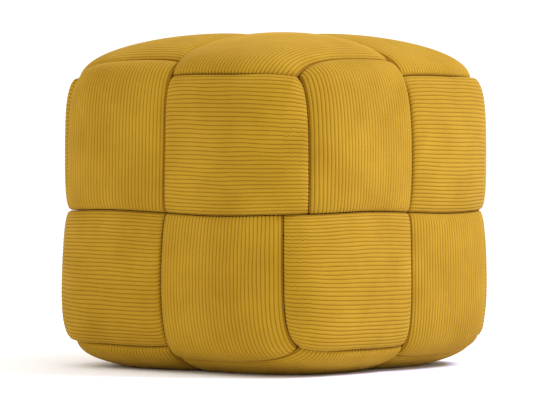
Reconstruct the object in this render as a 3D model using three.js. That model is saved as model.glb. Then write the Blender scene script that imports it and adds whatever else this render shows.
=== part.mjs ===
import * as THREE from "three";

// Corduroy pouf: a rounded cube woven out of six padded bands, each sewn into a closed loop.
// Two rings lie one above the other round the sides. Two loops run over the front, top, back
// and base, and two more over the sides, top and base. On every face four bands cross, over
// and under in turn, so that each face shows four padded panels.
// Lengths are in millimetres, +Z is up, and the origin is on the floor under the middle.

// Outside of the pouf, measured to the crowns of its panels
const HALF_WIDTH = 213.5;
const MIDDLE_HEIGHT = 188; // from the floor up to where the two rings meet
const SQUARENESS = 4.4; // exponent of the rounded cube: 2 is a ball, more is squarer
const SAG = 2.5; // how far the lower half bulges past the upper

// Each half has a shoulder this far from the middle height, beyond which its end swells out as a
// dome, and whose round edge is filled out beyond the rounded cube. The floor presses the lower
// dome flat, and the crowns that stand on it are pressed in as well.
const UPPER = { shoulder: 193, dome: 22, fullness: 0.52 };
const LOWER = { shoulder: 182, dome: 20, fullness: 0.75 };
const CROWNS_PRESSED = 3;

// One padded band
const BAND_WIDTH = 172; // from a face's middle line to the band's outer edge
const CORNER_DRAW = 0.05; // share by which that edge draws in at the cube's corners
const BULGE = 3; // how far an upper panel swells sideways over its neighbour
const THICKNESS = 22; // at the crown of the band
const PLUMPNESS = 5; // exponent of the band's section: 2 is an ellipse, more is fuller
const TAUTNESS = 8; // the same for the way an upper panel dives at the cube's edge
const PUFF = 6; // how far a ring's outer side swells out near the cube's corners
const RIM = 0.6; // half the thickness of the band's folded side edge
const SIDE_GAP = 0.8; // from a band's side edge to the line where its neighbour begins
const LAYER_GAP = 1.15; // between two bands where they cross

// Fineness of the surfaces
const CROSSING_STEPS = 7; // faces across one band, and along each crossing
const EDGE_STEPS = 3; // faces round each edge of the cube, between two crossings

const CORDUROY_COLOUR = 0xc59a2c;

const X = 0;
const Y = 1;
const Z = 2;

const LIFT = RIM + LAYER_GAP / 2; // the band above moves out by this, the one below moves in
const CROWN = THICKNESS + LIFT + RIM; // of the upper band, above the middle of the weave
const MEAN_REACH = BAND_WIDTH / HALF_WIDTH;
const GAP_SHARE = SIDE_GAP / BAND_WIDTH;
const BULGE_SHARE = BULGE / BAND_WIDTH;

// How far the outer edges lie from the middle of the cube of half size 1, for each axis: the mean
// of both sides, and how much more than that the positive side has. The left loop is the widest.
const REACH = [
  { mean: 0.815, lean: -0.015 },
  { mean: 0.8, lean: 0 },
  { mean: 0.815, lean: -0.005 },
];

// Grid lines of one crossing, from -1 to 1, closer together near the bands' rounded edges.
const LINES = Array.from({ length: CROSSING_STEPS + 1 }, (_, i) => {
  const even = Math.sin((Math.PI / 2) * ((2 * i) / CROSSING_STEPS - 1));
  return Math.sign(even) * Math.sqrt(Math.abs(even));
});

// Where a grid line lies between a face's middle line, 0, and the band's outer edge, 1.
function shareOf(line) {
  return GAP_SHARE + ((1 - 2 * GAP_SHARE) * (line + 1)) / 2;
}

// Half the thickness of a band at a place from -1 to 1 across it, which is also how far a band
// rises or sinks at a crossing at a place from -1 to 1 along it.
function swell(place, fullness = PLUMPNESS) {
  const left = Math.max(0, 1 - Math.abs(place) ** fullness);
  return (THICKNESS / 2) * left ** (1 / fullness);
}

// The third coordinate of a point on the rounded cube of half size 1, from the other two.
function roundedCube(a, b) {
  const left = 1 - Math.abs(a) ** SQUARENESS - Math.abs(b) ** SQUARENESS;
  return Math.max(0, left) ** (1 / SQUARENESS);
}

// A place that is a share of the way out to a side, or to an end, is moved out by this factor.
function filling(share, fullness) {
  return 1 + fullness * share ** 2 * (1 - share);
}

// How fast the share so filled out grows with the share itself.
function growth(share, fullness) {
  return 1 + fullness * (3 * share ** 2 - 4 * share ** 3);
}

// A point under a place on the outside, given on the rounded cube of half size 1. The depth is
// square to the outside, and the point is taken along the line to the middle of the pouf.
function pointBelow(place, depth) {
  const [x, y, z] = place;
  const { shoulder, dome, fullness } = z > 0 ? UPPER : LOWER;
  const rise = Math.abs(z);
  const reach = (Math.abs(x) ** SQUARENESS + Math.abs(y) ** SQUARENESS) ** (1 / SQUARENESS);
  const width = HALF_WIDTH + SAG * Math.sin(Math.PI * Math.min(0, z)) ** 2;
  const spread = filling(reach, fullness);
  const domeLeft = 1 - (reach * spread) ** 3;
  const swollen = Math.sign(z) * (shoulder * rise * filling(rise, fullness) + dome * domeLeft ** 2);
  const level = Math.max(swollen, -MIDDLE_HEIGHT - CROWNS_PRESSED);
  const outside = new THREE.Vector3(x * width * spread, y * width * spread, level);

  const [steepX, steepY, steepZ] = place.map((v) => Math.sign(v) * Math.abs(v) ** (SQUARENESS - 1));
  const spreadGrowth = growth(reach, fullness);
  const domeFall = 6 * dome * domeLeft * (reach * spread) ** 2 * spreadGrowth;
  const sideways = shoulder * growth(rise, fullness) + domeFall * (rise / reach) ** (SQUARENESS - 1);
  const square = new THREE.Vector3(sideways * steepX, sideways * steepY, width * spreadGrowth * steepZ);
  const outwards = outside.clone().normalize();
  const point = outside.addScaledVector(outwards, -depth / square.normalize().dot(outwards));
  point.z = Math.max(point.z, -MIDDLE_HEIGHT) + MIDDLE_HEIGHT;
  return point;
}

// The four faces that a loop passes, in order, where the loop goes round the given axis. Each
// has the axis and sign of its outward direction and of the direction in which the loop passes.
function facesRound(axis) {
  const first = (axis + 1) % 3;
  const second = (axis + 2) % 3;
  return [
    { out: first, outSign: 1, way: second, waySign: 1 },
    { out: second, outSign: 1, way: first, waySign: -1 },
    { out: first, outSign: -1, way: second, waySign: -1 },
    { out: second, outSign: -1, way: first, waySign: 1 },
  ];
}

// A place on a face: along is -1 to 1 in the loop's direction and across is -1 to 1 along its
// axis, where 1 is the outer edge of a band. The outer edges draw in towards the corners, and
// the middle lines sway, so that each upper panel swells over the panel beside it.
function placeOnFace(axis, face, along, across) {
  const sway = (place, other) => BULGE_SHARE * Math.sin(Math.PI * other) * (1 - place ** 2);
  const laidOut = (place, other, { mean, lean }) => {
    return (mean * place + lean * place ** 2) * (1 - CORNER_DRAW * other ** 4);
  };
  const place = [0, 0, 0];
  place[face.way] = laidOut(face.waySign * (along + sway(along, across)), across, REACH[face.way]);
  place[axis] = laidOut(across - sway(across, along), along, REACH[axis]);
  place[face.out] = face.outSign * roundedCube(place[face.way], place[axis]);
  return place;
}

// A place on the rounded edge after a face, where turn goes from 0 at that face's last crossing
// to 1 at the next face's first.
function placeOnEdge(axis, face, turn, across) {
  const nextFace = { out: face.way, outSign: face.waySign, way: face.out, waySign: -face.outSign };
  const start = placeOnFace(axis, face, 1, across);
  const end = placeOnFace(axis, nextFace, -1, across);
  const [startAngle, endAngle] = [start, end].map((place) => {
    return Math.atan2(Math.abs(place[face.way]), Math.abs(place[face.out]));
  });
  const angle = startAngle + turn * (endAngle - startAngle);
  const corner = roundedCube(start[axis], 0);
  const size = (Math.cos(angle) ** SQUARENESS + Math.sin(angle) ** SQUARENESS) ** (-1 / SQUARENESS);
  const place = [0, 0, 0];
  place[face.out] = face.outSign * corner * size * Math.cos(angle);
  place[face.way] = face.waySign * corner * size * Math.sin(angle);
  place[axis] = start[axis];
  return place;
}

// Whether a loop lies over the one it crosses, in the half of a face before or after its middle.
function liesOver(axis, side, face, half) {
  const octant = face.outSign * face.waySign * half * side;
  return (axis === (face.out + 2) % 3) === octant > 0;
}

// How far the loop's outer surface has risen on the way from the middle of an over crossing to
// where it dives under again past the cube's edge: run is 0 to 1 to the end of the crossing, and
// 1 to 2 from there round the edge. A ring also swells out there along its outer side.
function archOverEdge(axis, face, run, across) {
  const start = new THREE.Vector3(...placeOnFace(axis, face, 1, across));
  const end = new THREE.Vector3(...placeOnEdge(axis, face, 1, across));
  const edgeLength = start.distanceTo(end);
  const halfCrossing = MEAN_REACH / 2;
  const length = Math.min(run, 1) * halfCrossing + Math.max(run - 1, 0) * edgeLength;
  const puff = axis === Z ? PUFF * across ** 4 * Math.sin((Math.PI / 2) * run) ** 2 : 0;
  return swell(length / (halfCrossing + edgeLength), TAUTNESS) + puff;
}

// Every station along a loop, face by face. place and outer take the share across the band and
// give a point's place on the outside and how high the middle of the outer surface lies above
// the middle of the weave. inner is that height for the inner surface, and shift moves both.
// half tells on which side of the face's middle the loop goes on from there.
function stationsAlong(axis, side) {
  const stations = [];
  for (const face of facesRound(axis)) {
    const on = (along) => (share) => placeOnFace(axis, face, along, side * share);
    const arch = (run) => (share) => archOverEdge(axis, face, run, side * share);
    const level = (height) => () => height;
    const crossing = (half, line) => {
      const over = liesOver(axis, side, face, half);
      const rise = swell(line);
      const outer = over && line > 0 ? arch(line) : level(over ? rise : -rise);
      const shift = over ? LIFT : -LIFT;
      return { place: on(half * shareOf(line)), outer, inner: over ? rise : -rise, shift, half };
    };
    const boundary = (half) => {
      const over = liesOver(axis, side, face, half);
      const shift = over ? LIFT : 0;
      return { place: on(half), outer: over ? arch(1) : level(0), inner: 0, shift, half };
    };
    const edge = (turn) => {
      const gone = liesOver(axis, side, face, 1) ? turn : 1 - turn;
      const place = (share) => placeOnEdge(axis, face, turn, side * share);
      return { place, outer: arch(1 + gone), inner: 0, shift: LIFT * (1 - gone), half: 1 };
    };
    const turns = Array.from({ length: EDGE_STEPS - 1 }, (_, i) => (i + 1) / EDGE_STEPS);
    stations.push(
      boundary(-1),
      ...LINES.toReversed().map((line) => crossing(-1, line)),
      { place: on(0), outer: level(0), inner: 0, shift: 0, half: 1 },
      ...LINES.map((line) => crossing(1, line)),
      boundary(1),
      ...turns.map(edge),
    );
  }
  return stations;
}

// A closed band: at each station a ring of points, out over the outer surface and back along
// the inner one, in the direction of the loop's axis.
function bandGeometry(axis, side) {
  const lines = side > 0 ? LINES : LINES.toReversed();
  const stations = stationsAlong(axis, side);
  const positions = [];
  for (const { place, outer, inner, shift } of stations) {
    const ring = [];
    for (const line of lines) {
      const share = shareOf(line);
      const where = place(share);
      const top = outer(share) + swell(line) + shift + RIM;
      const bottom = inner - swell(line) + shift - RIM;
      ring.push([pointBelow(where, CROWN - top), pointBelow(where, CROWN - bottom)]);
    }
    const points = [...ring.map(([top]) => top), ...ring.toReversed().map(([, bottom]) => bottom)];
    points.forEach((point) => positions.push(...point));
  }

  const around = 2 * lines.length;
  const indices = [];
  stations.forEach((station, s) => {
    const next = (s + 1) % stations.length;
    for (let r = 0; r < around; r++) {
      const a = s * around + r;
      const b = next * around + r;
      const c = next * around + ((r + 1) % around);
      const d = s * around + ((r + 1) % around);
      // The two bands of a crossing share its grid, so both split its quads along one diagonal,
      // the one that doesn't point to the cube's corner.
      const outerSide = r < lines.length;
      if (station.half * side > 0 === outerSide) indices.push(a, b, d, b, c, d);
      else indices.push(a, b, c, a, c, d);
    }
  });

  const geometry = new THREE.BufferGeometry();
  geometry.setAttribute("position", new THREE.Float32BufferAttribute(positions, 3));
  geometry.setIndex(indices);
  geometry.computeVertexNormals();
  return geometry;
}

function band(name, axis, side) {
  const corduroy = new THREE.MeshStandardMaterial({ color: CORDUROY_COLOUR, roughness: 0.95, metalness: 0 });
  const mesh = new THREE.Mesh(bandGeometry(axis, side), corduroy);
  mesh.name = name;
  return mesh;
}

const pouf = new THREE.Group();
pouf.add(
  band("upper_ring", Z, 1),
  band("lower_ring", Z, -1),
  band("front_loop_left", X, -1),
  band("front_loop_right", X, 1),
  band("side_loop_front", Y, -1),
  band("side_loop_back", Y, 1),
);

export default pouf;
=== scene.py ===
import math

import bpy
import numpy as np
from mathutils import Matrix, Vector


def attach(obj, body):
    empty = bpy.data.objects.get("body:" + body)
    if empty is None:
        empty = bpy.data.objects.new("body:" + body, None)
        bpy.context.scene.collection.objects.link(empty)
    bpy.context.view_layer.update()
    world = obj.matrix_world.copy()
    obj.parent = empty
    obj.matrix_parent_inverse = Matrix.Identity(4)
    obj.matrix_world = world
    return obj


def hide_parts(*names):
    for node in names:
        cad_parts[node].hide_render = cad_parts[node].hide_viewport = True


# Corduroy pouf: six padded bands of wide-wale corduroy, woven through each other round a
# rounded cube. The shape is worked out as in the CAD part, on a finer grid. Only the side gap,
# the roundness of the outer sides, the reach along X and the way that a reach leans differ.
# The wales, the nap and the give of the stuffing are added here. Lengths are in metres.

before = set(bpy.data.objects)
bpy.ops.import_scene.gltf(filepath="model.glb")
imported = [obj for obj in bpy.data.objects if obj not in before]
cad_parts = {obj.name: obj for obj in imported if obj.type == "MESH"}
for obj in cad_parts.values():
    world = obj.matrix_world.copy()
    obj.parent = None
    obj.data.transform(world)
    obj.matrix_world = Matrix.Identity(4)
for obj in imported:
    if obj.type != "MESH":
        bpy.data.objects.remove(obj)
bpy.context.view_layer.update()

# Outside of the pouf, measured to the crowns of its panels

HALF_WIDTH = 0.2135
MIDDLE_HEIGHT = 0.188  # from the floor up to where the two rings meet
SQUARENESS = 4.4  # exponent of the rounded cube: 2 is a ball, more is squarer
SAG = 0.0025  # how far the lower half bulges past the upper
SHOULDER_RISE = 0.193  # from the middle height up to where the top's dome begins
SHOULDER_DROP = 0.182
DOME = 0.022
BASE_DOME = 0.020
FULLNESS_ABOVE = 0.52  # how much the upper half is filled out beyond the rounded cube
FULLNESS_BELOW = 0.75
CROWNS_PRESSED = 0.003  # by the floor that presses the lower dome flat

# One padded band

BAND_WIDTH = 0.172  # from a face's middle line to the band's outer edge
CORNER_DRAW = 0.05  # share by which that edge draws in at the cube's corners
BULGE = 0.003  # how far an upper panel swells sideways over its neighbour
THICKNESS = 0.022
PLUMPNESS = 5  # exponent of the band's section: 2 is an ellipse, more is fuller
ROUNDNESS = 3.6  # the same for its outer side, whose edges are rounder
TAUTNESS = 8  # the same for the way an upper panel dives at the cube's edge
PUFF = 0.006  # how far a ring's outer side swells out near the cube's corners
RIM = 0.0006  # half the thickness of the band's folded side edge
SIDE_GAP = 0.0003  # from a band's side edge to the line where its neighbour begins
LAYER_GAP = 0.00115  # between two bands where they cross

LIFT = RIM + LAYER_GAP / 2  # the band above moves out by this, the one below moves in
CROWN = THICKNESS + LIFT + RIM  # of the upper band, above the middle of the weave
GAP_SHARE = SIDE_GAP / BAND_WIDTH
BULGE_SHARE = BULGE / BAND_WIDTH

X, Y, Z = 0, 1, 2

# How far the outer edges lie from the middle of the cube of half size 1, for each axis: the
# mean of both sides, and how much more than that the positive side has.
REACH = {X: (0.825, -0.025), Y: (0.80, 0.0), Z: (0.815, -0.005)}
MEAN_REACH = BAND_WIDTH / HALF_WIDTH
EDGE_LENGTH = 0.29  # about how long a band's turn round an edge of that cube is

# The axis that each loop runs round, and the side of the middle that it lies on
BANDS = {
    "upper_ring": (Z, 1),
    "lower_ring": (Z, -1),
    "front_loop_left": (X, -1),
    "front_loop_right": (X, 1),
    "side_loop_front": (Y, -1),
    "side_loop_back": (Y, 1),
}

# A station's course is its place along its loop: 2 across each face, and 2 round each edge.
FACE_COURSE = 4.0
LOOP_COURSE = 4 * FACE_COURSE
CROSSING_COURSE = 0.98  # how much of a face's half the stations of its crossing spread over
HIDING = 12  # the higher, the nearer its ends the lower band of a crossing goes out of sight

# The corduroy

WALES = 37  # across the outer side of a band, from edge to edge
WALE_PROFILE = (0.0, 0.14, 0.36, 0.64, 0.86)  # where each wale has its points
WALE_HEIGHT = 0.0010
VALLEY_WIDTH = 0.45  # as a share of half a wale
CREST_SHARE = 0.45  # of a wale's height, the rest being its flanks
CREST_ROUNDNESS = 0.45  # the lower, the flatter the crest
WALE_UNEVENNESS = 0.18  # how much a wale's height varies, as a share of it
UNEVEN_PATCH_SIZE = 0.02
WALE_SWAY = 0.0003  # how far the wales wander sideways
SWAYS = 7  # waves of different length that make up the wandering
SWAYS_ROUND = (16, 48)  # such waves round a loop: at least the first, fewer than the second
SWAYS_ACROSS = 6  # most such waves across a band
BARE_WALES = 1  # how many wales from an edge the pile takes to reach its full height
CREASE_WALES = 1.8  # how many wales from an edge the painted crease shade reaches

# The give of the stuffing

CLOTH_FRAMES = 20
CLOTH_PRESSURE = 4.0
CLOTH_QUALITY = 5
SWELL_LIMIT = 0.0022
HELD_END = 0.007  # how far from where it dives the cloth still can't swell
HELD_FADE = 0.015
EDGE_HOLD = 8  # the higher, the nearer its side edges the cloth still gives
SMOOTHINGS_ALONG = 6
SMOOTHINGS_ACROSS = 12

# Fineness of the grids: the longest step, and the sharpest turn between two steps

FINE_GRID = (0.006, 0.2)
HIDDEN_GRID = (0.014, 0.3)
CLOTH_GRID = (0.012, 0.5)
CLOTH_HIDDEN_GRID = (0.03, 0.8)
CLOTH_ACROSS_GRID = (0.014, 0.6)
INNER_COLUMNS = 13
BAKE_MARGIN = 0.003  # between the two rows of a band's flat layout

# Colours

NAP_DARK = (0.340, 0.181, 0.0072, 1)
NAP_LIGHT = (0.416, 0.232, 0.0132, 1)
# Painted shade in the valleys between the wales
PAINTED_VALLEY_SHADE = (0.62, 0.58, 0.1, 1)
# Painted shade in the creases at the bands' edges and where they dive
PAINTED_CREASE_SHADE = (0.72, 0.6, 0.12, 1)
UNSHADED = (1, 1, 1, 1)

# The camera

CAMERA_AZIMUTH = math.radians(39.68)
CAMERA_ELEVATION = math.radians(1.283)
CAMERA_DISTANCE = 4.30
FOCAL_SHARE = 3534.7 / 550  # focal length over the picture's width
SENSOR = 36


def place_camera():
    data = bpy.data.cameras.new("studio_camera")
    camera = bpy.data.objects.new("studio_camera", data)
    bpy.context.scene.collection.objects.link(camera)
    back = Vector((
        math.sin(CAMERA_AZIMUTH) * math.cos(CAMERA_ELEVATION),
        -math.cos(CAMERA_AZIMUTH) * math.cos(CAMERA_ELEVATION),
        math.sin(CAMERA_ELEVATION),
    ))
    camera.location = Vector((0, 0, MIDDLE_HEIGHT)) + CAMERA_DISTANCE * back
    camera.rotation_euler = back.to_track_quat("Z", "Y").to_euler()
    data.sensor_fit = "HORIZONTAL"
    data.sensor_width = SENSOR
    data.lens = SENSOR * FOCAL_SHARE
    data.shift_x = -0.0017
    data.shift_y = 0.0071
    data.clip_start = 0.05
    data.clip_end = 60
    data.dof.use_dof = False
    bpy.context.scene.camera = camera


place_camera()


# Shape of the weave


def swell(place, fullness=PLUMPNESS):
    """Half a band's thickness at a place from -1 to 1 across it, or its rise along a crossing."""
    left = np.maximum(0.0, 1 - np.abs(place) ** fullness)
    return (THICKNESS / 2) * left ** (1 / fullness)


def share_of(line):
    """Where a grid line lies between a face's middle line, 0, and the band's outer edge, 1."""
    return GAP_SHARE + ((1 - 2 * GAP_SHARE) * (line + 1)) / 2


def rounded_cube(a, b):
    """How far out the cube's surface lies on one axis, for its places on the two others."""
    left = 1 - np.abs(a) ** SQUARENESS - np.abs(b) ** SQUARENESS
    return np.maximum(0.0, left) ** (1 / SQUARENESS)


def filling(share, fullness):
    return 1 + fullness * share ** 2 * (1 - share)


def growth(share, fullness):
    """The rate at which a share times its filling grows with the share."""
    return 1 + fullness * (3 * share ** 2 - 4 * share ** 3)


def point_below(place, depth):
    """The point this far below the pouf's outside at a place on the cube, towards its middle."""
    x, y, z = place[..., 0], place[..., 1], place[..., 2]
    steep = SQUARENESS - 1
    reach = (np.abs(x) ** SQUARENESS + np.abs(y) ** SQUARENESS) ** (1 / SQUARENESS)
    rise = np.abs(z)
    above = z > 0
    width = HALF_WIDTH + SAG * np.sin(np.pi * np.minimum(0.0, z)) ** 2
    height = np.where(above, SHOULDER_RISE, SHOULDER_DROP)
    dome = np.where(above, DOME, BASE_DOME)
    fullness = np.where(above, FULLNESS_ABOVE, FULLNESS_BELOW)

    filled = filling(reach, fullness)
    spread = width * filled
    dome_left = 1 - (reach * filled) ** 3
    level = height * rise * filling(rise, fullness) + dome * dome_left ** 2
    level = np.where(above, level, np.minimum(level, MIDDLE_HEIGHT + CROWNS_PRESSED))
    outside = np.stack([x * spread, y * spread, np.sign(z) * level], -1)

    grown = growth(reach, fullness)
    dome_fall = 6 * dome * dome_left * (reach * filled) ** 2 * grown
    dome_slope = dome_fall * (rise / np.maximum(reach, 1e-6)) ** steep
    sideways = height * growth(rise, fullness) + dome_slope
    square = np.stack([
        sideways * np.sign(x) * np.abs(x) ** steep,
        sideways * np.sign(y) * np.abs(y) ** steep,
        width * grown * np.sign(z) * rise ** steep,
    ], -1)
    square /= np.linalg.norm(square, axis=-1, keepdims=True)
    outwards = outside / np.linalg.norm(outside, axis=-1, keepdims=True)
    facing = (square * outwards).sum(-1)
    point = outside - outwards * (depth / facing)[..., None]
    point[..., 2] = np.maximum(point[..., 2], -MIDDLE_HEIGHT) + MIDDLE_HEIGHT
    return point


def faces_round(axis):
    """The faces that a loop round this axis passes: outward axis, its sign, way on, its sign."""
    first, second = (axis + 1) % 3, (axis + 2) % 3
    return [
        (first, 1, second, 1),
        (second, 1, first, -1),
        (first, -1, second, -1),
        (second, -1, first, 1),
    ]


def bowed(place, other):
    """How far sideways the upper panels push the line at this place, seen along the other way."""
    return BULGE_SHARE * np.sin(np.pi * other) * (1 - place ** 2)


def laid_out(place, other, direction):
    """Where on the cube of half size 1 a place from -1 to 1 comes to lie in this direction."""
    mean, lean = REACH[direction]
    drawn = mean * place * (1 - CORNER_DRAW * other ** 4)
    return drawn + lean * place ** 2 * (1 - other ** 8)


def place_on_face(axis, face, along, across):
    """Places on a face of the cube, for places from -1 to 1 along the loop and across it."""
    out, out_sign, way, way_sign = face
    along, across = np.broadcast_arrays(along, across)
    place = np.zeros(along.shape + (3,))
    place[..., way] = laid_out(way_sign * (along + bowed(along, across)), across, way)
    place[..., axis] = laid_out(across - bowed(across, along), along, axis)
    place[..., out] = out_sign * rounded_cube(place[..., way], place[..., axis])
    return place


def place_on_edge(axis, face, turn, across):
    """Places round the edge after a face: the turn is 0 at its rim and 1 at the next face's."""
    out, out_sign, way, way_sign = face
    turn, across = np.broadcast_arrays(turn, across)
    start = place_on_face(axis, face, 1.0, across)
    end = place_on_face(axis, (way, way_sign, out, -out_sign), -1.0, across)
    start_angle = np.arctan2(np.abs(start[..., way]), np.abs(start[..., out]))
    end_angle = np.arctan2(np.abs(end[..., way]), np.abs(end[..., out]))
    angle = start_angle + turn * (end_angle - start_angle)
    corner = rounded_cube(start[..., axis], 0.0)
    size = (np.cos(angle) ** SQUARENESS + np.sin(angle) ** SQUARENESS) ** (-1 / SQUARENESS)
    place = np.zeros(turn.shape + (3,))
    place[..., out] = out_sign * corner * size * np.cos(angle)
    place[..., way] = way_sign * corner * size * np.sin(angle)
    place[..., axis] = start[..., axis]
    return place


def lies_over(axis, side, face, half):
    """Whether a loop lies over the band that it crosses on this half of a face."""
    out, out_sign, _, way_sign = face
    octant = out_sign * way_sign * half * side
    return (axis == (out + 2) % 3) == (octant > 0)


def arch_over_edge(axis, face, run, across):
    """How high an upper panel stands: the run is 0 mid-crossing, 1 at its end, 2 past the edge."""
    start = place_on_face(axis, face, 1.0, across)
    end = place_on_edge(axis, face, 1.0, across)
    edge_length = np.linalg.norm(end - start, axis=-1)
    half_crossing = MEAN_REACH / 2
    length = np.minimum(run, 1) * half_crossing + np.maximum(run - 1, 0) * edge_length
    puff = PUFF * across ** 4 * np.sin((np.pi / 2) * run) ** 2 if axis == Z else 0.0
    return swell(length / (half_crossing + edge_length), TAUTNESS) + puff


# Places on a band's grid


def even_steps(values, x, z, step, bend):
    """Picks values so that neighbours are at most a step apart and turn by at most a bend."""
    length = np.hypot(np.diff(x), np.diff(z))
    heading = np.unwrap(np.arctan2(np.diff(z), np.diff(x)))
    turning = np.abs(np.diff(heading, prepend=heading[0]))
    travelled = np.concatenate([[0.0], np.cumsum(length / step + turning / bend)])
    count = max(2, math.ceil(travelled[-1]))
    return np.interp(np.linspace(0, travelled[-1], count + 1), travelled, values)


def fine_lines(count=4001):
    """Places from -1 to 1 across a band, closer together near its rounded edges."""
    even = np.sin((np.pi / 2) * np.linspace(-1, 1, count))
    return np.sign(even) * np.sqrt(np.abs(even))


def crossing_lines(step, bend):
    lines = fine_lines()
    return even_steps(lines, BAND_WIDTH / 2 * lines, swell(lines), step, bend)


def edge_runs(step, bend, count=2001):
    """Places between 0 and 1 round an edge of the cube, for a panel that dives at its end."""
    gone = 1 - np.linspace(1, 0, count) ** 3
    length = MEAN_REACH / 2 + gone * EDGE_LENGTH
    height = swell(length / (MEAN_REACH / 2 + EDGE_LENGTH), TAUTNESS)
    return even_steps(gone, HALF_WIDTH * EDGE_LENGTH * gone, height, step, bend)[1:-1]


def wale_columns():
    """Places across a band, from -1 to 1, with its wales evenly spaced along the cloth."""
    lines = fine_lines()
    x, z = BAND_WIDTH / 2 * lines, swell(lines, ROUNDNESS)
    arc = np.concatenate([[0.0], np.cumsum(np.hypot(np.diff(x), np.diff(z)))])
    wales = np.array([w + p for w in range(WALES) for p in WALE_PROFILE] + [WALES])
    return np.interp(wales / WALES * arc[-1], arc, lines), wales


# The stations of a loop


class Weave:
    """The stations along one loop, on a grid of the given places across it."""

    def __init__(self, name, lines_across, over_lines, under_lines, runs):
        self.axis, self.side = BANDS[name]
        self.lines = lines_across if self.side > 0 else lines_across[::-1]
        self.share = share_of(self.lines)[None, :]
        self.parts = []
        for number, face in enumerate(faces_round(self.axis)):
            self.face_stations(number, face, over_lines, under_lines, runs)
        joined = {k: np.concatenate([p[k] for p in self.parts]) for k in self.parts[0]}
        self.course = joined["course"]
        self.shown = joined["shown"]
        outer_rise = swell(self.lines, ROUNDNESS)[None, :]
        inner_rise = swell(self.lines)[None, :]
        top = joined["outer"] + outer_rise + joined["shift"] + RIM
        bottom = joined["inner"] - inner_rise + joined["shift"] - RIM
        self.outer = point_below(joined["place"], CROWN - top)
        self.inner = point_below(joined["place"], CROWN - bottom)

    def add(self, course, place, outer, inner, shift, shown):
        """Stations at places on the cube, with their heights above the middle of the weave."""

        def at_each_place(value):
            return np.broadcast_to(value, place.shape[:2]).astype(float)

        self.parts.append({
            "course": np.asarray(course, float),
            "place": place,
            "outer": at_each_place(outer),
            "inner": at_each_place(inner),
            "shift": at_each_place(shift),
            "shown": at_each_place(shown),
        })

    def face_stations(self, number, face, over_lines, under_lines, runs):
        """The stations of one face's two crossings, and of the edge that comes after it."""
        across = self.side * self.share
        start = FACE_COURSE * number

        def on(along):
            return place_on_face(self.axis, face, along, across)

        def arch(run):
            return arch_over_edge(self.axis, face, run, across)

        def crossing(half):
            over = lies_over(self.axis, self.side, face, half)
            lines = (over_lines if over else under_lines)[:, None]
            if half < 0:
                lines = lines[::-1]
            course = start + 1 + half * share_of(lines[:, 0]) * CROSSING_COURSE
            rise = swell(lines)
            if over:
                outer = np.where(lines > 0, arch(np.maximum(lines, 0)), rise)
                self.add(course, on(half * share_of(lines)), outer, rise, LIFT, 1.0)
            else:
                shown = np.clip(2 * np.abs(lines) ** HIDING - 1, 0, 1)
                self.add(course, on(half * share_of(lines)), -rise, -rise, -LIFT, shown)

        def boundary(half):
            end = np.ones((1, 1))
            over = lies_over(self.axis, self.side, face, half)
            outer, shift = (arch(end), LIFT) if over else (0.0, 0.0)
            self.add([start + 1 + half], on(half * end), outer, 0.0, shift, 1.0)

        boundary(-1)
        crossing(-1)
        self.add([start + 1], on(np.zeros((1, 1))), 0.0, 0.0, 0.0, 1.0)
        crossing(1)
        boundary(1)
        over = lies_over(self.axis, self.side, face, 1)
        turns = (runs if over else 1 - runs[::-1])[:, None]
        gone = turns if over else 1 - turns
        place = place_on_edge(self.axis, face, turns, across)
        course = start + 2 + 2 * turns[:, 0]
        self.add(course, place, arch(1 + gone), 0.0, LIFT * (1 - gone), 1.0)


# One band's mesh


def length_shares(points, direction):
    """The mean length of the band's steps in one direction, added up and as shares of 1."""
    step = np.linalg.norm(np.roll(points, -1, direction) - points, axis=-1).mean(1 - direction)
    return np.concatenate([[0.0], np.cumsum(step)]) / step.sum()


def laid_flat(points, station, line):
    """Each face's corners on the band cut open, halved and laid flat in two rows, for the bake."""
    along, around = length_shares(points, 0), length_shares(points, 1)
    half = int(np.searchsorted(along, 0.5))
    second = station >= half
    start = np.where(second, along[half], 0.0)
    length = np.where(second, 1 - along[half], along[half])

    def corner(one_on, one_round):
        across_row = BAKE_MARGIN + (0.5 - 2 * BAKE_MARGIN) * around[line + one_round]
        along_row = (along[station + one_on] - start) / length
        return np.stack([along_row, np.where(second, 0.5, 0.0) + across_row], -1)

    return np.stack([corner(0, 0), corner(1, 0), corner(1, 1), corner(0, 1)], -2)


def band_mesh(name, outer, inner, values):
    """A closed band out of a grid of points on its outer side and one on its inner side."""
    grid = np.concatenate([outer, inner[:, ::-1]], 1)
    stations, around = grid.shape[:2]
    points = grid.reshape(-1, 3)
    station, line = np.meshgrid(np.arange(stations), np.arange(around), indexing="ij")
    next_station, next_line = (station + 1) % stations, (line + 1) % around
    quads = np.stack([
        station * around + line,
        next_station * around + line,
        next_station * around + next_line,
        station * around + next_line,
    ], -1).reshape(-1, 4)
    mesh = bpy.data.meshes.new(name)
    mesh.vertices.add(len(points))
    mesh.vertices.foreach_set("co", points.astype(np.float32).ravel())
    mesh.loops.add(quads.size)
    mesh.loops.foreach_set("vertex_index", quads.astype(np.int32).ravel())
    mesh.polygons.add(len(quads))
    mesh.polygons.foreach_set("loop_start", np.arange(0, quads.size, 4, dtype=np.int32))
    mesh.update(calc_edges=True)
    mesh.validate()
    flat = laid_flat(grid, station, line).astype(np.float32)
    mesh.uv_layers.new(name="OFBake").data.foreach_set("uv", flat.ravel())
    for key, value in values.items():
        layer = mesh.attributes.new(key, "FLOAT", "POINT")
        layer.data.foreach_set("value", value.astype(np.float32).ravel())
    return mesh


# The give of the stuffing, by a cloth simulation


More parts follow.
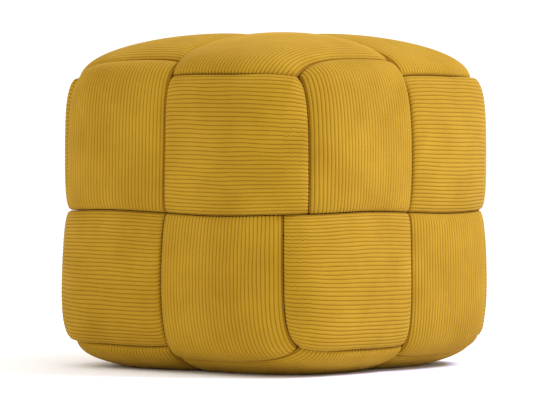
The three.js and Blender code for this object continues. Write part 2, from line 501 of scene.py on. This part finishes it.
def free_amount(weave):
    """1 over a panel's middle, and 0 where the cloth is held, at its edges and where it dives."""
    middle = weave.outer[:, len(weave.lines) // 2]
    hidden = middle[weave.shown.max(1) < 0.5]
    from_hidden = np.linalg.norm(middle[:, None] - hidden[None], axis=-1).min(1)
    clear = np.clip((from_hidden - HELD_END) / HELD_FADE, 0, 1)
    free = weave.shown * (1 - np.abs(weave.lines)[None, :] ** EDGE_HOLD) * clear[:, None]
    return np.clip(free, 0, 1)


def stuff(cloth):
    """Lets air pressure swell a coarse band, except where its vertex group holds it."""
    modifier = cloth.modifiers.new("stuffing", "CLOTH")
    settings = modifier.settings
    settings.quality = CLOTH_QUALITY
    settings.effector_weights.gravity = 0
    settings.use_pressure = True
    settings.uniform_pressure_force = CLOTH_PRESSURE
    settings.vertex_group_mass = "held"
    modifier.collision_settings.use_collision = False
    modifier.collision_settings.use_self_collision = False
    modifier.point_cache.frame_start = 1
    modifier.point_cache.frame_end = CLOTH_FRAMES


def stuffed_swell(name, weave):
    """How far the stuffing swells the outer side of a coarse copy of a band, within a limit."""
    scene = bpy.context.scene
    mesh = band_mesh(name + "_cloth", weave.outer, weave.inner, {})
    cloth = bpy.data.objects.new(name + "_cloth", mesh)
    scene.collection.objects.link(cloth)
    stations, across = weave.outer.shape[:2]
    free = free_amount(weave)
    held = np.ones((stations, 2 * across))
    held[:, :across] = 1 - free
    group = cloth.vertex_groups.new(name="held")
    for index, weight in enumerate(held.ravel()):
        group.add([index], float(weight), "REPLACE")
    stuff(cloth)
    for number in range(1, CLOTH_FRAMES + 1):
        scene.frame_set(number)
    depsgraph = bpy.context.evaluated_depsgraph_get()
    points = np.zeros(len(mesh.vertices) * 3, np.float32)
    cloth.evaluated_get(depsgraph).data.vertices.foreach_get("co", points)
    bpy.data.objects.remove(cloth)
    bpy.data.meshes.remove(mesh)
    moved = points.reshape(stations, 2 * across, 3)[:, :across].astype(float) - weave.outer
    length = np.linalg.norm(moved, axis=-1, keepdims=True)
    limited = SWELL_LIMIT * np.tanh(length / SWELL_LIMIT)
    return moved * limited / np.maximum(length, 1e-9) * free[..., None]


def between(places, wanted):
    """For each wanted value, the place before it in a rising list, and how far past it it is."""
    before = np.clip(np.searchsorted(places, wanted) - 1, 0, len(places) - 2)
    step = np.maximum(places[before + 1] - places[before], 1e-9)
    return before, (wanted - places[before]) / step


def carried_over(moved, coarse, fine):
    """The swell of the coarse band at the points of the fine one."""
    order = np.argsort(coarse.course)
    once = coarse.course[order]
    course = np.concatenate([once - LOOP_COURSE, once, once + LOOP_COURSE])
    columns = np.sort(coarse.share[0])
    field = np.concatenate([moved[order]] * 3)[:, np.argsort(coarse.share[0])]
    before, part = between(course, fine.course)
    part = part[:, None, None]
    along = field[before] * (1 - part) + field[before + 1] * part
    before, part = between(columns, np.clip(fine.share[0], columns[0], columns[-1]))
    part = part[None, :, None]
    return along[:, before] * (1 - part) + along[:, before + 1] * part


def smoothed(field):
    for _ in range(SMOOTHINGS_ALONG):
        field = (np.roll(field, 1, 0) + 2 * field + np.roll(field, -1, 0)) / 4
    for _ in range(SMOOTHINGS_ACROSS):
        inner = (field[:, :-2] + 2 * field[:, 1:-1] + field[:, 2:]) / 4
        field = np.concatenate([field[:, :1], inner, field[:, -1:]], 1)
    return field


# The wales, by Geometry Nodes


def wandering(weave, seed):
    """Moves every wale a little sideways along the cloth, in long soft waves."""
    random = np.random.default_rng(seed)
    round_loop = weave.course[:, None] / LOOP_COURSE
    sway = np.zeros((len(weave.course), len(weave.lines)))
    for _ in range(SWAYS):
        waves_round = random.integers(*SWAYS_ROUND)
        waves_across = random.uniform(-SWAYS_ACROSS, SWAYS_ACROSS)
        start = random.uniform(0, 2 * np.pi)
        waves = waves_round * round_loop + waves_across * weave.share
        sway += np.sin(2 * np.pi * waves + start)
    free = weave.shown * (1 - np.abs(weave.lines)[None, :] ** EDGE_HOLD)
    sway *= WALE_SWAY / np.sqrt(SWAYS) * free
    sideways = np.gradient(weave.outer, axis=1)
    sideways /= np.maximum(np.linalg.norm(sideways, axis=-1, keepdims=True), 1e-9)
    return sideways * sway[..., None]


def wale_tree():
    """Sinks the cloth between the wales. The band's own attributes say where and how far."""
    tree = bpy.data.node_groups.new("corduroy_wales", "GeometryNodeTree")
    face = tree.interface
    face.new_socket("Geometry", in_out="INPUT", socket_type="NodeSocketGeometry")
    for label in ("Wale Height", "Valley Width", "Unevenness", "Uneven Patch Size", "Seed"):
        face.new_socket(label, in_out="INPUT", socket_type="NodeSocketFloat")
    face.new_socket("Corduroy", in_out="INPUT", socket_type="NodeSocketMaterial")
    face.new_socket("Geometry", in_out="OUTPUT", socket_type="NodeSocketGeometry")
    nodes, links = tree.nodes, tree.links
    given = nodes.new("NodeGroupInput")
    result = nodes.new("NodeGroupOutput")

    def named(label):
        node = nodes.new("GeometryNodeInputNamedAttribute")
        node.data_type = "FLOAT"
        node.inputs["Name"].default_value = label
        return node.outputs["Attribute"]

    def maths(operation, *values):
        node = nodes.new("ShaderNodeMath")
        node.operation = operation
        for socket, value in zip(node.inputs, values):
            if isinstance(value, (int, float)):
                socket.default_value = value
            else:
                links.new(value, socket)
        return node.outputs[0]

    # 0 in the middle of a valley and 1 on the crown of a wale
    part = maths("FRACT", maths("ADD", named("wale"), 1e-4))
    from_valley = maths("MULTIPLY", maths("MINIMUM", part, maths("SUBTRACT", 1.0, part)), 2.0)
    climb = nodes.new("ShaderNodeMapRange")
    climb.interpolation_type = "SMOOTHERSTEP"
    links.new(from_valley, climb.inputs["Value"])
    links.new(given.outputs["Valley Width"], climb.inputs["From Max"])
    flank = maths("MULTIPLY", climb.outputs["Result"], 1 - CREST_SHARE)
    crest = maths("MULTIPLY", maths("POWER", from_valley, CREST_ROUNDNESS), CREST_SHARE)
    rib = maths("ADD", flank, crest)

    uneven = nodes.new("ShaderNodeTexNoise")
    uneven.noise_dimensions = "4D"
    uneven.inputs["Detail"].default_value = 2.0
    position = nodes.new("GeometryNodeInputPosition")
    links.new(position.outputs[0], uneven.inputs["Vector"])
    links.new(given.outputs["Seed"], uneven.inputs["W"])
    scale = maths("DIVIDE", 1.0, given.outputs["Uneven Patch Size"])
    links.new(scale, uneven.inputs["Scale"])
    from_mean = maths("SUBTRACT", uneven.outputs["Fac"], 0.5)
    spread = maths("MULTIPLY", from_mean, given.outputs["Unevenness"])

    depth = maths("MULTIPLY", given.outputs["Wale Height"], maths("ADD", 1.0, spread))
    sunk = maths("MULTIPLY", maths("SUBTRACT", rib, 1.0), depth)
    cut = maths("MULTIPLY", sunk, named("pile"))
    normal = nodes.new("GeometryNodeInputNormal")
    offset = nodes.new("ShaderNodeVectorMath")
    offset.operation = "SCALE"
    links.new(normal.outputs["Normal"], offset.inputs[0])
    links.new(cut, offset.inputs["Scale"])

    store = nodes.new("GeometryNodeStoreNamedAttribute")
    store.data_type = "FLOAT"
    store.domain = "POINT"
    store.inputs["Name"].default_value = "rib"
    links.new(given.outputs["Geometry"], store.inputs["Geometry"])
    links.new(rib, store.inputs["Value"])
    place = nodes.new("GeometryNodeSetPosition")
    links.new(store.outputs["Geometry"], place.inputs["Geometry"])
    links.new(offset.outputs["Vector"], place.inputs["Offset"])
    smooth = nodes.new("GeometryNodeSetShadeSmooth")
    links.new(place.outputs["Geometry"], smooth.inputs["Geometry"])
    real = nodes.new("GeometryNodeRealizeInstances")
    links.new(smooth.outputs["Geometry"], real.inputs["Geometry"])
    finish = nodes.new("GeometryNodeSetMaterial")
    links.new(real.outputs["Geometry"], finish.inputs["Geometry"])
    links.new(given.outputs["Corduroy"], finish.inputs["Material"])
    links.new(finish.outputs["Geometry"], result.inputs["Geometry"])
    return tree


def cut_wales(piece, tree, seed, corduroy):
    """Runs the wale tree on a band and keeps its result as the band's mesh."""
    modifier = piece.modifiers.new("wales", "NODES")
    modifier.node_group = tree
    values = {
        "Wale Height": WALE_HEIGHT,
        "Valley Width": VALLEY_WIDTH,
        "Unevenness": WALE_UNEVENNESS,
        "Uneven Patch Size": UNEVEN_PATCH_SIZE,
        "Seed": float(seed),
        "Corduroy": corduroy,
    }
    for socket in tree.interface.items_tree:
        if socket.item_type == "SOCKET" and socket.in_out == "INPUT" and socket.name in values:
            modifier[socket.identifier] = values[socket.name]
    depsgraph = bpy.context.evaluated_depsgraph_get()
    mesh = bpy.data.meshes.new_from_object(
        piece.evaluated_get(depsgraph), preserve_all_data_layers=True, depsgraph=depsgraph
    )
    piece.modifiers.remove(modifier)
    smooth_mesh = piece.data
    piece.data = mesh
    bpy.data.meshes.remove(smooth_mesh)
    mesh.name = piece.name


# The corduroy's material


def corduroy_material():
    material = bpy.data.materials.new("mustard_corduroy")
    material.use_nodes = True
    nodes, links = material.node_tree.nodes, material.node_tree.links
    shader = nodes["Principled BSDF"]
    shader.inputs["Sheen Weight"].default_value = 0.08
    shader.inputs["Sheen Roughness"].default_value = 0.4
    shader.inputs["Sheen Tint"].default_value = (1.0, 0.84, 0.36, 1)
    shader.inputs["Specular IOR Level"].default_value = 0.12
    place = nodes.new("ShaderNodeTexCoord")

    def read(attribute):
        node = nodes.new("ShaderNodeAttribute")
        node.attribute_name = attribute
        return node.outputs["Fac"]

    def noise(scale, roughness=0.5):
        node = nodes.new("ShaderNodeTexNoise")
        node.inputs["Scale"].default_value = scale
        node.inputs["Detail"].default_value = 3
        node.inputs["Roughness"].default_value = roughness
        links.new(place.outputs["Object"], node.inputs["Vector"])
        return node.outputs["Fac"]

    def ranged(value, lowest, highest):
        node = nodes.new("ShaderNodeMapRange")
        node.inputs["To Min"].default_value = lowest
        node.inputs["To Max"].default_value = highest
        links.new(value, node.inputs["Value"])
        return node.outputs["Result"]

    def shaded(colour, shade, clearness):
        """The colour, shaded in full where the clearness is 0 and not at all where it is 1."""
        tint = nodes.new("ShaderNodeMix")
        tint.data_type = "RGBA"
        tint.inputs["A"].default_value = shade
        tint.inputs["B"].default_value = UNSHADED
        links.new(clearness, tint.inputs["Factor"])
        product = nodes.new("ShaderNodeVectorMath")
        product.operation = "MULTIPLY"
        links.new(colour, product.inputs[0])
        links.new(tint.outputs["Result"], product.inputs[1])
        return product.outputs["Vector"]

    # Soft patches of lighter and darker nap
    tone = nodes.new("ShaderNodeValToRGB")
    dark, light = tone.color_ramp.elements
    dark.position, dark.color = 0.3, NAP_DARK
    light.position, light.color = 0.7, NAP_LIGHT
    links.new(noise(scale=14, roughness=0.55), tone.inputs["Fac"])

    # Flecks as fine as the fibres
    fibre = noise(scale=900)
    flecked = nodes.new("ShaderNodeVectorMath")
    flecked.operation = "SCALE"
    links.new(tone.outputs["Color"], flecked.inputs[0])
    links.new(ranged(fibre, lowest=0.9, highest=1.08), flecked.inputs["Scale"])

    # Painted shade: darker valleys between the wales, and darker creases along edges and where
    # bands dive, where shade falls
    crown = nodes.new("ShaderNodeMapRange")
    crown.interpolation_type = "SMOOTHSTEP"
    crown.inputs["From Max"].default_value = 0.85
    links.new(read("rib"), crown.inputs["Value"])
    ribbed = shaded(flecked.outputs["Vector"], PAINTED_VALLEY_SHADE, crown.outputs["Result"])
    links.new(shaded(ribbed, PAINTED_CREASE_SHADE, read("crease_clearness")), shader.inputs["Base Color"])

    links.new(ranged(fibre, lowest=0.82, highest=0.98), shader.inputs["Roughness"])
    bump = nodes.new("ShaderNodeBump")
    bump.inputs["Strength"].default_value = 0.35
    bump.inputs["Distance"].default_value = 0.0004
    links.new(fibre, bump.inputs["Height"])
    links.new(bump.outputs["Normal"], shader.inputs["Normal"])
    return material


# Making the bands


def band_weave(name, columns, visible_grid, hidden_grid):
    over_lines, under_lines = crossing_lines(*visible_grid), crossing_lines(*hidden_grid)
    return Weave(name, columns, over_lines, under_lines, edge_runs(*visible_grid))


def swollen(name, fine, outer):
    """The band's outer side once its stuffing has swelled it and the floor has pressed it."""
    lines = fine_lines()
    columns = even_steps(lines, BAND_WIDTH / 2 * lines, swell(lines), *CLOTH_ACROSS_GRID)
    coarse = band_weave(name, columns, CLOTH_GRID, CLOTH_HIDDEN_GRID)
    moved = smoothed(carried_over(stuffed_swell(name, coarse), coarse, fine))
    outer = outer + moved * free_amount(fine)[..., None]
    outer[..., 2] = np.maximum(outer[..., 2], 0.0)
    return outer


def make_band(name, seed, tree, corduroy):
    columns, wales = wale_columns()
    fine = band_weave(name, columns, FINE_GRID, HIDDEN_GRID)
    outer = fine.outer + wandering(fine, seed)
    outer = swollen(name, fine, outer)
    inner_picks = np.linspace(0, len(columns) - 1, INNER_COLUMNS)
    inner = fine.inner[:, np.unique(np.round(inner_picks).astype(int))]

    def on_outer_side(value):
        return np.concatenate([value * np.ones_like(fine.shown), np.zeros(inner.shape[:2])], 1)

    from_edge = np.minimum(wales, WALES - wales)
    mesh = band_mesh(name + "_corduroy", outer, inner, {
        "wale": on_outer_side(wales if fine.side > 0 else wales[::-1]),
        "pile": on_outer_side(fine.shown * np.clip(from_edge / BARE_WALES, 0, 1)),
        # 1 where the cloth lies open, down to 0 at the edges and where it dives, where painted
        # crease shade is put
        "crease_clearness": on_outer_side(fine.shown * np.clip(from_edge / CREASE_WALES, 0, 1)),
    })
    piece = bpy.data.objects.new(name + "_corduroy", mesh)
    bpy.context.scene.collection.objects.link(piece)
    cut_wales(piece, tree, seed, corduroy)
    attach(piece, "root")
    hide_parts(name)


# The studio

FLOOR_RADIUS = 30.0
FLOOR_CORNERS = 96
FLOOR_DROP = 0.0005  # keeps the floor apart from the flat panels that stand on it
LIT_PLACE = Vector((0, 0, 0.2))


def floor_material():
    material = bpy.data.materials.new("studio_white")
    material.use_nodes = True
    shader = material.node_tree.nodes["Principled BSDF"]
    shader.inputs["Base Color"].default_value = (0.96, 0.96, 0.96, 1)
    shader.inputs["Roughness"].default_value = 0.9
    shader.inputs["Specular IOR Level"].default_value = 0.0
    return material


def make_floor():
    angles = [2 * math.pi * i / FLOOR_CORNERS for i in range(FLOOR_CORNERS)]
    rim = [(FLOOR_RADIUS * math.cos(a), FLOOR_RADIUS * math.sin(a), 0) for a in angles]
    mesh = bpy.data.meshes.new("studio_floor")
    mesh.from_pydata(rim, [], [tuple(range(FLOOR_CORNERS))])
    mesh.materials.append(floor_material())
    floor = bpy.data.objects.new("studio_floor", mesh)
    floor.location.z = -FLOOR_DROP
    bpy.context.scene.collection.objects.link(floor)


def area_light(name, place, side, watts, colour):
    data = bpy.data.lights.new(name, "AREA")
    data.shape = "SQUARE"
    data.size = side
    data.energy = watts
    data.color = colour
    light = bpy.data.objects.new(name, data)
    light.location = place
    light.rotation_euler = (Vector(place) - LIT_PLACE).to_track_quat("Z", "Y").to_euler()
    bpy.context.scene.collection.objects.link(light)


def make_light():
    world = bpy.data.worlds.new("studio_air")
    bpy.context.scene.world = world
    world.use_nodes = True
    air = world.node_tree.nodes["Background"]
    air.inputs["Color"].default_value = (1, 1, 1, 1)
    air.inputs["Strength"].default_value = 1.18
    area_light("key_light", place=(2.2, 1.3, 2.6), side=1.2, watts=102, colour=(0.93, 1.0, 1.7))
    area_light("fill_light", place=(-2.3, -1.5, 1.3), side=1.6, watts=12, colour=(1.0, 1.0, 1.0))


mustard = corduroy_material()
wales_of_corduroy = wale_tree()
for number, band_name in enumerate(BANDS):
    make_band(band_name, number + 1, wales_of_corduroy, mustard)
make_floor()
make_light()
bpy.context.scene.view_settings.view_transform = "Standard"
bpy.context.scene.view_settings.look = "None"

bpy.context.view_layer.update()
